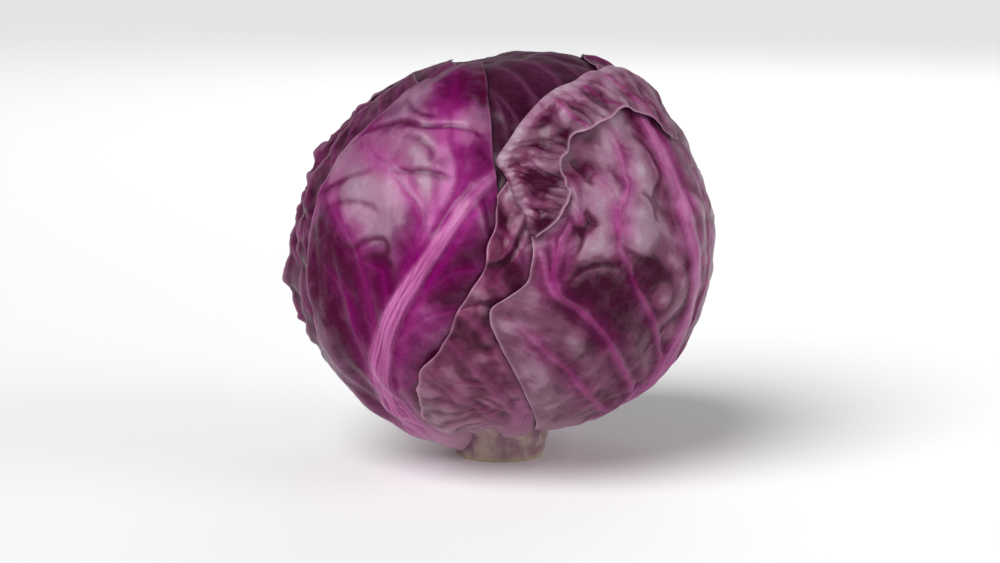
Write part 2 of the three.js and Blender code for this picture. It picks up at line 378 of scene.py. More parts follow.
GOLDEN_ANGLE = 137.5
HEART_LEAVES = [
    Leaf(
        name=f"heart_leaf_{i + 1}", azimuth=20 + i * GOLDEN_ANGLE, bend=0, tip=170, skew=0, round=26,
        left=[36, 55, 62, 58, 34], right=[36, 55, 62, 58, 34],
        slot="heart_leaf", rows=61, columns=52, seed=20 + i,
    )
    for i in range(4)
]
OUTER_LEAVES = [
    Leaf(
        name="right_inner_leaf", azimuth=146, bend=-0.1, tip=176, skew=0, round=24,
        left=[34, 52, 60, 56, 36], right=[36, 54, 60, 52, 30],
        palette="dark", slot="dark_leaf", rows=121, columns=106, quilt=0.3, bulge=0.3, wave=0.4, seed=31,
    ),
    Leaf(
        name="crown_leaf", azimuth=-108, bend=0.05, tip=224, skew=6, round=10,
        left=[32, 48, 56, 54, 34], right=[34, 50, 58, 62, 52],
        palette="crown", slot="dark_leaf", rows=241, columns=151,
        quilt=0.25, bulge=0.25, wave=0.5, rib_height=0.25, frill=(0.4, 0.2, 0.4),
        midrib=(9.0, 1.4, 2.0, 0.2), tone=-0.1, seed=32,
    ),
    Leaf(
        name="left_side_leaf", azimuth=-142, bend=0.1, tip=158, skew=-6, round=20,
        left=[34, 52, 60, 52, 32], right=[34, 56, 68, 62, 36],
        frill=(1.6, 0.5, 2.6), frill_length=16, wobble=1.4, stride=2, tone=-0.15, seed=33,
    ),
    Leaf(
        name="back_right_leaf", azimuth=116, bend=-0.15, tip=157, skew=0, round=20,
        left=[34, 50, 56, 52, 32], right=[36, 54, 60, 54, 34],
        frill=(0.3, 0.0, 1.6), cut=(9, 0), tone=-0.1, pleat=(0.5, 0.3), seed=34,
    ),
    Leaf(
        name="left_inner_leaf", azimuth=-70, bend=0.3, tip=155, skew=-8, round=3,
        left=[16, 19, 28, 36, 40], right=[30, 42, 46, 40, 28],
        columns=121, stride=2, frill=(6.0, 0.4, 0.0), frill_length=14, wobble=1.8, tone=-0.2, seed=35,
    ),
    Leaf(
        name="front_inner_leaf", azimuth=-40, bend=0.4, tip=121, skew=-26, round=2,
        left=[34, 41, 55, 56, 60], right=[26, 36, 40, 38, 30],
        columns=121, stride=2, frill=(4.4, 0.3, 0.0), frill_length=17, wobble=1.8, tone=-0.2, seed=36,
    ),
    Leaf(
        name="front_left_leaf", azimuth=-56, bend=0.48, tip=134, skew=-23, round=2,
        left=[16, 24, 38, 41, 50], right=[26, 36, 42, 44, 42],
        palette="bright", slot="bright_leaf", rows=271, columns=181,
        quilt=0.6, bulge=0.3, bulge_size=26, wave=0.7, pleat=(0.1, 0.1), flow=(30.0, 8.0, 0.3),
        midrib=(9.0, 2.4, 3.0, 1.2), spread=1.3, side_veins=False,
        spine=((14, 0), (38, 0), (62, 1), (86, 3), (110, 4.5), (136, -1)),
        veins=FRONT_LEFT_VEINS, creases=FRONT_LEFT_CREASES, spots=FRONT_LEFT_SPOTS,
        frill=(1.6, 0.2, 0.0), rim=(1.0, 0.3, 0.0), wobble=0.6, tone=0.1, seed=37,
    ),
    Leaf(
        name="back_leaf", azimuth=176, bend=0.12, tip=153, skew=0, round=20,
        left=[34, 52, 58, 52, 34], right=[36, 54, 60, 54, 34],
        rows=241, columns=166, frill=(2.0, 0.6, 2.0), quilt=1.0, bulge=1.0, seed=38,
    ),
    Leaf(
        name="front_middle_leaf", azimuth=12, bend=-0.05, tip=125, skew=0, round=10,
        left=[24, 30, 25, 14, 7.5], right=[30, 44, 50, 44, 24],
        palette="dark", slot="dark_leaf", rows=221, columns=131, stride=2,
        quilt=0.6, bulge=2.0, bulge_size=13, wave=0.8, frill=(2.4, 1.0, 0.0), frill_length=14, wobble=1.6,
        creases=FRONT_MIDDLE_CREASES, spots=FRONT_MIDDLE_SPOTS,
        tone=0.15, seed=39,
    ),
    Leaf(
        name="front_right_leaf", azimuth=59, bend=0, tip=148.7, skew=0, round=2,
        left=[24, 42, 55, 61, 52, 49, 48, 46], right=[34, 52, 57, 55, 42],
        palette="greyed", slot="mauve_leaf", rows=271, columns=191,
        quilt=0.8, bulge=1.1, bulge_size=20, wave=1.0, pleat=(0.1, 0.35), flow=(38.0, 14.0, 0.3),
        midrib=(10.0, 2.6, 3.6, 0.8), side_veins=False,
        spine=((14, 0), (40, 1), (66, 3), (92, 3), (117, 0), (150, 6)),
        veins=FRONT_RIGHT_VEINS, creases=FRONT_RIGHT_CREASES, spots=FRONT_RIGHT_SPOTS,
        frill=(2.2, 0.0, 1.6), rim=(0.9, 0.0, 1.0), wobble=0.9, cut=(6.5, 0), tone=0.05, seed=40,
    ),
]


# ---- where a leaf is

TURN_START = math.radians(-40.0)  # turns along a leaf's circle are counted from here


def leaf_axes(leaf):
    """The circle that a leaf's midrib follows: its axis, and the axes in which its points turn."""
    azimuth = math.radians(leaf.azimuth)
    down = np.array([0.0, 0.0, -1.0])
    heading = np.array([math.sin(azimuth), -math.cos(azimuth), 0.0])
    right = np.cross(heading, down)
    arc = math.atan2(1.0, leaf.bend)
    axis = down * math.cos(arc) + right * math.sin(arc)
    first = down - axis * axis.dot(down)
    first /= np.linalg.norm(first)
    return axis, first, np.cross(axis, first), arc


def direction(leaf, along, across):
    """The direction from the head's centre to a point of a leaf. The angles are in degrees."""
    axis, first, second, arc = leaf_axes(leaf)
    turn = -np.radians(along) / math.sin(arc)
    tilt = arc - np.radians(across)
    ring = np.cos(turn)[..., None] * first + np.sin(turn)[..., None] * second
    return np.cos(tilt)[..., None] * axis + np.sin(tilt)[..., None] * ring


def angles(leaf, directions):
    """The reverse of direction()."""
    axis, first, second, arc = leaf_axes(leaf)
    across = np.degrees(arc - np.arccos(np.clip(directions @ axis, -1.0, 1.0)))
    turn = -np.arctan2(directions @ second, directions @ first)
    turn = np.where(turn < TURN_START, turn + 2 * math.pi, turn)
    return np.degrees(turn * math.sin(arc)), across


def leaf_angles(leaf, u, v):
    """(along, across) of a point: u goes from 0 at the base to 1 at the tip, v from -1 at the left to 1."""
    along = BASE_ANGLE + u * (leaf.end(v) - BASE_ANGLE)
    left, right = leaf.widths(u)
    return along, -left + (left + right) * (v + 1) / 2


def leaf_place(leaf, along, across):
    """The reverse of leaf_angles(), found step by step."""
    v = np.zeros(along.shape)
    for _ in range(8):
        u = (along - BASE_ANGLE) / (leaf.end(v) - BASE_ANGLE)
        left, right = leaf.widths(u)
        v = 0.4 * v + 0.6 * np.clip(2 * (across + left) / (left + right) - 1, -1.6, 1.6)
    return u, v


def bilinear(grid, u, v):
    """The value of a grid over the leaf, at u from 0 to 1 and v from -1 to 1."""
    rows, columns = grid.shape
    row = np.clip(u, 0, 1) * (rows - 1)
    column = (np.clip(v, -1, 1) + 1) / 2 * (columns - 1)
    i = np.minimum(row.astype(int), rows - 2)
    j = np.minimum(column.astype(int), columns - 2)
    fi, fj = row - i, column - j
    near = grid[i, j] * (1 - fj) + grid[i, j + 1] * fj
    far = grid[i + 1, j] * (1 - fj) + grid[i + 1, j + 1] * fj
    return near * (1 - fi) + far * fi


def edge_gaps(leaf, u, v, along, across):
    """How far inside the left edge, the tip and the right edge a point is, in millimetres."""
    left, right = leaf.widths(u)
    return (across + left) * DEGREE, (leaf.end(v) - along) * DEGREE, (right - across) * DEGREE


def heart_radius(directions):
    rise = np.maximum(directions[..., 2], 0.0)
    fullness = 1 + LEAN * directions[..., 0] * rise
    level = np.hypot(directions[..., 0], directions[..., 1]) / HEART_RADIUS
    vertical = directions[..., 2] / np.where(directions[..., 2] > 0, HEART_TOP, HEART_BOTTOM)
    return fullness / np.hypot(level, vertical)


# ---- a leaf's relief and colour

SPOT_SWELL = 0.6  # how far a pale spot swells, and a dark one sinks, in millimetres
CURVE_DETAIL = 6  # how many straight steps there are between two points of a vein or crease
LINE_REACH = 24.0  # how far from a vein or crease anything of it is worked out
PANEL_SLOPE = 7.0  # how far from a vein a panel has swollen
RIGHT_SIDE_SHIFT = 300.0  # gives a leaf's right side streaks of its own
WAVE_SIZE = 40.0
TONE_SIZE = 16.0
FRILL_DEPTH = 4.5
RIM_HIGHLIGHT_WIDTH = 0.7
SHADE_WIDTH = 2.4


def spot_sum(along, across, spots):
    """The sum of soft round spots, each (along, across, radius, amount) in degrees."""
    total = np.zeros(along.shape)
    for spot_along, spot_across, radius, amount in spots:
        total += amount * bell(np.hypot(along - spot_along, across - spot_across), radius)
    return total


def leaf_line(points):
    s = np.linspace(0.0, 1.0, (len(points) - 1) * CURVE_DETAIL + 1)
    return spline_line(points, s) * DEGREE


def branching_veins(leaf):
    """Side veins that leave the midrib in turn on each side, sweep towards the tip and fork."""
    rng = np.random.default_rng(leaf.seed + 50)
    lag, reach, slope = leaf.flow
    veins = []
    for side, widths in ((-1, leaf.left), (1, leaf.right)):
        sideways = np.linspace(0.0, max(widths) + 8.0, 8)
        start = BASE_ANGLE + rng.uniform(6.0, 14.0)
        while start < leaf.tip - 18.0:
            steepness = rng.uniform(0.75, 1.25)
            climb = lag * (1 - np.exp(-sideways / reach)) + slope * steepness * sideways
            climb += rng.normal(0.0, 0.9, len(sideways)) * (sideways > 0)
            trunk = start + climb
            size = 1.0 - 0.55 * start / leaf.tip
            high, low = leaf.rib_height * (0.4 + 1.4 * size), leaf.rib_height * 0.3
            veins.append(Vein(list(zip(trunk, side * sideways)), (1.2 + 2.4 * size, 0.9), (high, low)))
            for fork in (2, 4):
                turn = rng.uniform(0.4, 0.9) * rng.choice((-1.0, 1.0))
                away = np.linspace(0.0, sideways[-1] - sideways[fork], 5)
                branch = trunk[fork] + (slope + turn) * away
                points = list(zip(branch, side * (sideways[fork] + away)))
                veins.append(Vein(points, (1.4, 0.8), (0.4 * high + 0.2 * low, 0.7 * low), 0.6))
            start += rng.uniform(14.0, 21.0)
    return veins


def vein_relief(leaf, x, y, paint):
    """The height of the ribs, and how clear of them each point is. Colours are added to paint."""
    middle = Vein(leaf.spine, leaf.midrib[:2], leaf.midrib[2:])
    drift = 1.2 * noise(x / 40.0, y / 40.0, leaf.seed + 9)
    height = np.zeros(x.shape)
    clear = np.full(x.shape, 40.0)
    for vein in [middle, *leaf.veins, *(branching_veins(leaf) if leaf.side_veins else [])]:
        distance, s, side = line_distance(x + drift, y + drift, leaf_line(vein.points), LINE_REACH)
        fall = (1 - s) ** 1.3
        width, rise = (end + (start - end) * fall for start, end in (vein.width, vein.height))
        if vein is middle:
            ends = 1.0
            profile = np.exp(-((distance / np.where(side > 0, leaf.spread, 1.0) / width) ** 3))
            crest = np.exp(-((distance / (0.85 * width)) ** 4)) * smoothstep(0.0, 0.5, fall + 0.25)
            streak = noise((distance * side + 40.0) / 0.8, x / 30.0, leaf.seed + 24)
            paint["rib"] = np.clip(crest * (0.6 + 0.7 * streak), 0, 1)
            paint["flush"] = bell(distance - 1.5 * width, 0.7 * width) * (side < 0)
        else:
            ends = smoothstep(1.02, 0.75, s)
            profile = bell(distance, width)
            line = bell(distance - 0.35 * width * (side < 0), 0.24 * width + 0.25)
            paint["vein"] = np.maximum(paint["vein"], ends * line * (0.65 + 0.35 * fall))
        height = np.maximum(height, rise * ends * profile)
        clear = np.minimum(clear, np.maximum(distance - width, 0.0) + 8.0 * (1 - ends))
        glow = vein.flush * (0.4 + 0.6 * fall) * bell(distance, 1.3 * width + 2.6)
        paint["flush"] = np.maximum(paint["flush"], ends * glow)
    return height, clear


def crease_relief(leaf, x, y, paint):
    """The height of the folds, and how clear of them each point is. Painted shade along the low side of each
    fold is added to paint.
    """
    height = np.zeros(x.shape)
    clear = np.full(x.shape, 40.0)
    for crease in leaf.creases:
        distance, s, side = line_distance(x, y, leaf_line(crease.points), LINE_REACH)
        ends = np.sin(math.pi * np.clip(s, 0.0, 1.0)) ** 0.7
        offset = distance * side * math.copysign(1.0, crease.rise)
        step = (0.5 + 0.5 * np.tanh(offset / 1.1)) * np.exp(-np.maximum(offset, 0.0) / 8.0)
        height += ends * (abs(crease.rise) * step - crease.dip * bell(offset + 0.9, 1.5))
        # Painted shade in the dip on the fold's low side
        dark = bell(offset + 0.9, 1.1) * (0.4 + 0.5 * min(abs(crease.rise), 1.6) / 1.6)
        paint["dark"] = np.maximum(paint["dark"], ends * dark)
        clear = np.minimum(clear, distance + 6.0 * (1 - ends))
    return height, clear


def flow_noise(leaf, along, across):
    """Small pleats and streaks that run from the midrib outwards, as the side veins do."""
    lag, reach, slope = leaf.flow
    sideways = np.abs(across)
    start = (along - lag * (1 - np.exp(-sideways / reach)) - slope * sideways) * DEGREE
    lane = sideways * DEGREE + RIGHT_SIDE_SHIFT * (across > 0)
    blend = smoothstep(2.0, 14.0, sideways)
    pleats = np.abs(layered_noise(start / 4.5, lane / 45.0, leaf.seed + 18, 2)) * blend
    pleats *= np.where(across < 0, leaf.pleat[0], leaf.pleat[1])
    return pleats, layered_noise(start / 2.2, lane / 22.0, leaf.seed + 19, 2) * blend


def leaf_relief(leaf, along, across, inside):
    """A leaf's relief in millimetres, and the amounts of each colour, on the leaf's grid."""
    x, y = along * DEGREE, across * DEGREE
    paint = {key: np.zeros(x.shape) for key in ("flush", "vein", "rib", "dark")}
    ribs, clear_of_ribs = vein_relief(leaf, x, y, paint)
    folds, clear_of_folds = crease_relief(leaf, x, y, paint)
    panel = 1.0 - bell(np.minimum(clear_of_ribs, clear_of_folds), PANEL_SLOPE)
    pleats, streaks = flow_noise(leaf, along, across)
    spots = spot_sum(along, across, leaf.spots)

    large = bulges(x, y, leaf.bulge_size, leaf.seed + 13)
    small = bulges(x, y, leaf.bulge_size * 0.42, leaf.seed + 14)
    wave = layered_noise(x / WAVE_SIZE, y / WAVE_SIZE, leaf.seed + 15, 2)
    swell = 0.7 + 0.4 * noise(x / 25.0, y / 25.0, leaf.seed + 16)
    soft = leaf.quilt * (panel * swell - 0.4) + leaf.wave * wave + pleats + SPOT_SWELL * spots
    soft += leaf.bulge * (large * (0.4 + 0.6 * panel) + 0.15 * small - 0.4)
    relief = ribs + folds + soft * smoothstep(-0.5, 7.0, inside)

    tone = leaf.tone + 0.45 * layered_noise(x / TONE_SIZE, y / TONE_SIZE, leaf.seed + 17, 3)
    # The bulges are painted paler on top and darker in the valleys between them: painted highlight and
    # painted shade
    paint["tone"] = tone + 0.10 * streaks + 0.35 * (large - 0.45) * min(leaf.bulge, 1.5) + spots
    paint["grey"] = smoothstep(2.0, 12.0, clear_of_ribs)
    paint["grey"] *= smoothstep(-0.8, 0.5, noise(x / 21.0, y / 21.0, leaf.seed + 23))
    paint["base"] = bell(along - BASE_ANGLE, 16.0)
    return relief, paint


def frills(leaf, u, travels, gaps):
    """How far a leaf's edges lift, in millimetres, in uneven ripples."""
    lift = np.zeros(u.shape)
    for k, (travel, gap, amount) in enumerate(zip(travels, gaps, leaf.frill)):
        ripple = 0.45 + 0.75 * noise(2 * travel / leaf.frill_length, 0.5 + k, leaf.seed + 21)
        ripple += 0.25 * noise(5 * travel / leaf.frill_length, 7.5 + k, leaf.seed + 22)
        ripple = 0.35 + 0.65 * np.clip(ripple, 0.0, 1.2)
        start = 1.0 if k == 1 else smoothstep(0.12, 0.4, u) * smoothstep(1.0, 0.65, u)
        lift = np.maximum(lift, amount * start * ripple * np.exp(-np.maximum(gap, 0.0) / FRILL_DEPTH))
    return lift


def thickness_at(inside, taper):
    """How thick a leaf is at a distance inside its edge."""
    return EDGE_THICKNESS + (LEAF_THICKNESS - EDGE_THICKNESS) * smoothstep(0.0, taper, inside)


def lay_leaf(leaf, laid):
    """Works out a leaf's surface over the leaves laid before it, as radii from the head's centre."""
    lines = np.linspace(0.0, 1.0, leaf.rows), np.linspace(-1.0, 1.0, leaf.columns)
    u, v = np.meshgrid(*lines, indexing="ij")
    along, across = leaf_angles(leaf, u, v)
    directions = direction(leaf, along, across)
    bed = heart_radius(directions)
    for lower in laid:
        place_u, place_v = leaf_place(lower["leaf"], *angles(lower["leaf"], directions))
        covered = (place_u >= 0) & (place_u <= 1) & (np.abs(place_v) <= 1)
        bed = np.where(covered, bilinear(lower["outer"], place_u, place_v), bed)
    gaps = edge_gaps(leaf, u, v, along, across)
    inside = np.min(gaps, axis=0)
    relief, paint = leaf_relief(leaf, along, across, inside)
    thickness = thickness_at(inside, EDGE_TAPER)
    height = drape(bed, leaf.steps()) + LEAF_GAP * smoothstep(0.0, GAP_TAPER, inside) + relief
    outer = np.maximum(height, bed + LEAST_GAP) + thickness
    travels = [along * DEGREE, across * DEGREE, along * DEGREE]
    # A painted highlight along each edge, where the thin edge catches the light
    paint["rim"] = np.zeros(u.shape)
    for k, (travel, gap, amount) in enumerate(zip(travels, gaps, leaf.rim)):
        line = bell(np.maximum(gap, 0.0), RIM_HIGHLIGHT_WIDTH) * (0.7 + 0.5 * noise(travel / 7.0, k, 90))
        paint["rim"] = np.maximum(paint["rim"], amount * line)
    return {
        "leaf": leaf, "along": along, "across": across, "directions": directions, "paint": paint,
        "outer": outer, "thickness": thickness, "lift": frills(leaf, u, travels, gaps),
    }


def settle(sheets):
    """Lifts the frills that no other leaf holds down, and paints shade on each leaf beside the edges over
    it.
    """
    for k, sheet in enumerate(sheets):
        outside = np.full(sheet["outer"].shape, 60.0)
        for upper in sheets[k + 1:]:
            leaf = upper["leaf"]
            along, across = angles(leaf, sheet["directions"])
            u, v = leaf_place(leaf, along, across)
            gaps = edge_gaps(leaf, u, v, along, across)
            inside = np.min([*gaps, (along - BASE_ANGLE) * DEGREE], axis=0)
            outside = np.minimum(outside, -inside)
        sheet["outer"] = sheet["outer"] + sheet["lift"] * smoothstep(0.5, 5.0, outside)
        # Painted shade, strongest right beside the edges of the leaves over this one
        sheet["paint"]["shade"] = np.exp(-np.maximum(outside, 0.0) / SHADE_WIDTH)
        finish_paint(sheet)


def finish_paint(sheet):
    """Turns the tone and the relief into one bloom: over the leaf's own tone, the crests get painted
    highlight and the hollows painted shade.
    """
    paint, steps = sheet["paint"], sheet["leaf"].steps()
    # Painted highlight on the crests and painted shade in the hollows, measured from the relief
    crest = np.clip((sheet["outer"] - blur(sheet["outer"], 5.0, steps)) / 0.7, -1.0, 1.0)
    ridge = np.clip((sheet["outer"] - blur(sheet["outer"], 2.2, steps)) / 0.3, -1.0, 1.0)
    paint["bloom"] = np.clip(0.5 + 0.5 * paint.pop("tone") + 0.2 * crest + 0.05 * ridge, 0.0, 1.0)
    paint["leaf_x"] = sheet["along"] * DEGREE * MM
    paint["leaf_y"] = sheet["across"] * DEGREE * MM


# ---- meshes

def new_mesh(name, points, faces, paint):
    """A smooth mesh of points in millimetres, with an amount of each paint at each point."""
    mesh = bpy.data.meshes.new(name)
    mesh.from_pydata((points * MM).tolist(), [], faces)
    mesh.polygons.foreach_set("use_smooth", [True] * len(mesh.polygons))
    for key, values in paint.items():
        attribute = mesh.attributes.new(key, "FLOAT", "POINT")
        attribute.data.foreach_set("value", np.asarray(values, np.float32))
    mesh.update()
    return mesh


def squares(index):
    """The four-sided faces of a grid of point numbers."""
    corners = [index[:-1, :-1], index[:-1, 1:], index[1:, 1:], index[1:, :-1]]
    return np.stack(corners, -1).reshape(-1, 4).tolist()


def closed_rings(rows, columns):
    """The point numbers of rings one above another, each with its first point again at its end."""
    index = np.arange(rows * columns).reshape(rows, columns)
    return np.column_stack([index, index[:, 0]])


def edge_faces(outside, inside, over_inside):
    """The faces between an edge's outside and its inside, which has points under some of the outside's."""
    stops = np.flatnonzero(np.isin(outside, over_inside))
    outside, inside = outside.tolist(), inside.tolist()
    spans = zip(inside, inside[1:], stops, stops[1:])
    return [[start, end, *outside[low:high + 1][::-1]] for start, end, low, high in spans]


def closed_sheet(name, outer, inner, stride, paint):
    """A closed mesh between two grids of points: every point outside, and one in stride inside."""
    rows, columns = outer.shape[:2]
    picks = np.ix_(*(np.unique([*range(0, size, stride), size - 1]) for size in (rows, columns)))
    outside = np.arange(rows * columns).reshape(rows, columns)
    over_inside = outside[picks]
    inside = rows * columns + np.arange(over_inside.size).reshape(over_inside.shape)
    faces = squares(outside) + [face[::-1] for face in squares(inside)]
    for turn in range(4):
        edges = (np.rot90(grid, turn)[0] for grid in (outside, inside, over_inside))
        faces += edge_faces(*edges)
    points = np.concatenate([outer.reshape(-1, 3), inner[picks].reshape(-1, 3)])
    paint = {key: np.concatenate([values.ravel(), values[picks].ravel()]) for key, values in paint.items()}
    return new_mesh(name, points, faces, paint)


def add_object(name, data):
    thing = bpy.data.objects.new(name, data)
    bpy.context.scene.collection.objects.link(thing)
    return thing


def join_meshes(name, meshes):
    """One object made of several meshes, with their paint."""
    pieces = [add_object(name, mesh) for mesh in meshes]
    with bpy.context.temp_override(
        active_object=pieces[0], object=pieces[0], selected_objects=pieces, selected_editable_objects=pieces
    ):
        bpy.ops.object.join()
    return pieces[0]


def add_piece(name, meshes, material, slot, *nodes):
    """A piece riding on the head, in the place of the CAD nodes that it stands for."""
    piece = join_meshes(name, meshes)
    piece.data.materials.clear()
    piece.data.materials.append(material)
    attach(piece, "root")
    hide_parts(*nodes)


def leaf_mesh(sheet):
    directions = sheet["directions"]
    depth = np.maximum(-directions[..., 2], 1e-6)
    outer = np.minimum(sheet["outer"], (HEAD_CENTRE[2] - FLOOR_CLEARANCE) / depth)
    inner = outer - sheet["thickness"]
    points = [HEAD_CENTRE + directions * radius[..., None] for radius in (outer, inner)]
    return closed_sheet(sheet["leaf"].name, *points, sheet["leaf"].stride, sheet["paint"])


# ---- the rolled edge

# The top and left edges of the front right leaf are rolled back over it. Each row is a point on the fold and
# the point of the loose edge that lies opposite, as (along, across) in degrees.
ROLL = [
    ((148.0, 34), (146.5, 33)),
    ((148.3, 27), (141, 26)),
    ((148.6, 19), (134, 19)),
    ((148.7, 11), (124, 11)),
    ((148.8, 5), (125.5, 6)),
    ((148.8, -1), (131, 2.5)),
    ((148.8, -5), (135.5, -2)),
    ((148.8, -9), (135.5, -6.5)),
    ((148.6, -14), (134.5, -11.5)),
    ((148.4, -19), (134, -17)),
    ((148.0, -25), (133.6, -22.5)),
    ((147.5, -30.5), (133.8, -27)),
    ((146.2, -36), (130.5, -30.5)),
    ((145.0, -41), (129.5, -34)),
    ((142.0, -46.5), (125, -35.5)),
    ((136.0, -47.5), (121.5, -36)),
    ((130.0, -49), (118, -37)),
    ((124.0, -50), (115, -39)),
    ((118.5, -49.7), (112, -42)),
    ((114.0, -50), (110.5, -45.5)),
    ((109.0, -49.5), (109, -48)),
]
ROLL_RIBS = [
    [(145, -23), (141, -24), (136, -23), (134, -22)],
    [(145, -12), (141, -12), (138, -10), (136, -6)],
    [(146, -1), (138, 1), (128, 4)],
]
ROLL_LIGHT = [(145, -37), (145, -18), (139, -26), (136, -15), (133, -40), (119, -42), (127, -46), (142, -5)]
ROLL_DARK = [(141, -30), (135, -29), (141, -13), (136, -36), (139, -20), (125, -40), (129, -43), (113, -46)]
ROLL_SPOT = 3.0  # the radius of the light and dark spots, in degrees
ROLL_RADIUS = 1.3  # of the turn at the fold, in millimetres
ROLL_TAPER = 5.0  # how far inside the loose edge the roll has its full thickness
ROLL_ROWS = 281
ROLL_TURN_COLUMNS = 9
ROLL_FLAT_COLUMNS = 39


def unit(vectors):
    return vectors / np.maximum(np.linalg.norm(vectors, axis=-1, keepdims=True), 1e-9)


def roll_lines(leaf, s, fade):
    """The fold and the loose edge at s from 0 to 1, and how far along the fold that is in millimetres."""
    fold, loose = (spline_line([pair[k] for pair in ROLL], s) for k in (0, 1))
    travel = np.append(0.0, np.cumsum(np.hypot(*np.diff(fold, axis=0).T))) * DEGREE
    wander = np.stack([noise(travel / 8.0, 0.5 + k, leaf.seed + 60) for k in (0, 1)], -1)
    loose += 0.6 * wander * fade

    # The fold runs along the leaf's own edge, which it continues
    place_u, place_v = leaf_place(leaf, *fold.T)
    on_tip = (1 - place_u) * 1.6 < place_v + 1
    edge_u = np.where(on_tip, 1.0, np.clip(place_u, 0, 1))
    edge_v = np.where(on_tip, np.clip(place_v, -1, 1), -1.0)
    fold = np.stack(leaf_angles(leaf, edge_u, edge_v), -1)
    for _ in range(2):
        fold = box_blur(fold, 5, 0)
    return fold, loose, travel[:, None]


def roll_wrinkles(leaf, x, y, travel, reach):
    """The roll's wrinkles, lumps and ribs, each from 0 to 1."""
    wander = 0.5 * noise(reach / 8, travel / 20, 81)
    wrinkle = np.abs(noise(travel / 6.5 + wander, reach / 17.0, leaf.seed + 70))
    wrinkle = np.clip(1.7 * wrinkle, 0, 1) ** 0.7
    lump = bulges(x, y, 9.0, leaf.seed + 71)
    rib_gaps = [line_distance(x, y, leaf_line(points), 12.0)[0] for points in ROLL_RIBS]
    return wrinkle, lump, bell(np.min(rib_gaps, axis=0), 1.1)


def roll_tone(leaf, along, across):
    """The roll's lighter and darker places."""
    x, y = along * DEGREE, across * DEGREE
    tone = 0.35 * layered_noise(x / 7.0, y / 7.0, leaf.seed + 73, 2)
    tone += spot_sum(along, across, [(*place, ROLL_SPOT, 0.5) for place in ROLL_LIGHT])
    return tone + spot_sum(along, across, [(*place, ROLL_SPOT, -0.8) for place in ROLL_DARK])


def roll_mesh(sheet):
    """The rolled-back edge of the front right leaf: it turns over at the fold and lies on the leaf."""
    leaf, steps = sheet["leaf"], sheet["leaf"].steps()
    s = np.linspace(0.0, 1.0, ROLL_ROWS)[:, None]
    fade = smoothstep(0.0, 0.1, s) * smoothstep(1.0, 0.93, s)  # towards both ends of the roll
    start = smoothstep(0.1, 0.35, s)  # towards its first end only
    fold, loose, travel = roll_lines(leaf, s[:, 0], fade)

    # Where its points lie: the first columns turn over at the fold, and the others go on to the loose edge
    turn = np.linspace(0.0, math.pi, ROLL_TURN_COLUMNS, endpoint=False)
    turn = np.append(turn, np.full(ROLL_FLAT_COLUMNS, math.pi))
    q = np.append(np.zeros(ROLL_TURN_COLUMNS), np.linspace(0.0, 1.0, ROLL_FLAT_COLUMNS))
    line = fold[:, None] + (loose - fold)[:, None] * q[:, None]
    along, across = line[..., 0], line[..., 1]
    x, y = along * DEGREE, across * DEGREE
    width = np.linalg.norm(loose - fold, axis=-1)[:, None] * DEGREE
    reach = q * width
    edge_gap = width - reach
    flat = smoothstep(0.0, 6.0, reach)

    # How high they stand over the leaf
    wrinkle, lump, ribs = roll_wrinkles(leaf, x, y, travel, reach)
    relief = (0.9 * wrinkle + 0.7 * lump) * smoothstep(0.3, 4.0, reach) * smoothstep(-0.5, 3.0, edge_gap)
    phase = 2 * math.pi * travel / 15.0 + 2.5 * noise(travel / 22.0, 0.5, leaf.seed + 72)
    lift = (0.85 + 0.55 * np.sin(phase)) * np.exp(-edge_gap / 3.5) * fade * start
    radius = ROLL_RADIUS * (0.3 + 0.7 * fade)
    height = radius * (1 - np.cos(turn)) * (1 - 0.6 * flat) + 0.3
    height = height + relief * fade + 0.9 * ribs * flat + lift
    bed = highest_near(blur(sheet["outer"], 2.0, steps), 1.5, steps)
    bed = bilinear(bed, *leaf_place(leaf, along, across))
    middle = HEAD_CENTRE + direction(leaf, along, across) * (bed + height)[..., None]
    outward = unit(direction(leaf, *fold.T) - direction(leaf, *(fold + 0.1 * (loose - fold)).T))
    middle += outward[:, None] * (radius * np.sin(turn))[..., None]
    normal = unit(np.cross(np.gradient(middle, axis=0), np.gradient(middle, axis=1)))
    half = normal * 0.5 * thickness_at(edge_gap, ROLL_TAPER)[..., None]

    # The wrinkles' and lumps' crests are painted paler and their valleys darker: painted highlight and
    # painted shade. The roll is also darker over the last part of its length
    tone = -0.08 - 0.4 * smoothstep(0.6, 0.8, s) + 0.55 * (wrinkle - 0.5) + 0.3 * (lump - 0.5)
    tone += roll_tone(leaf, along, across)
    paint = dict.fromkeys(("rib", "shade", "base"), np.zeros(x.shape))
    # Paler over the turn at the fold: a painted highlight
    paint["bloom"] = np.clip(0.5 + 0.5 * tone + 0.3 * (1 - flat) * fade, 0, 1)
    paint["flush"] = 0.5 * ribs
    paint["vein"] = 0.4 * ribs
    # Painted shade in the valleys between the wrinkles
    paint["dark"] = 0.35 * bell(wrinkle, 0.16) * flat * fade
    paint["grey"] = smoothstep(-0.6, 0.4, noise(x / 15.0, y / 15.0, leaf.seed + 74))
    # A painted highlight along the loose edge
    paint["rim"] = bell(edge_gap, 0.8) * start
    paint["leaf_x"], paint["leaf_y"] = x * MM, y * MM

    # The rows are turned round, so that the faces look outwards
    upper, lower = (middle + half)[::-1], (middle - half)[::-1]
    paint = {key: values[::-1] for key, values in paint.items()}
    return closed_sheet(leaf.name + "_roll", upper, lower, 2, paint)


# ---- materials

def linear(red, green, blue):
    """A colour given as it looks on a screen, 0 to 255, as the shader wants it."""
    channels = np.array([red, green, blue]) / 255
    channels = np.where(channels <= 0.04, channels / 12.92, ((channels + 0.055) / 1.055) ** 2.4)
    return (*channels.tolist(), 1.0)


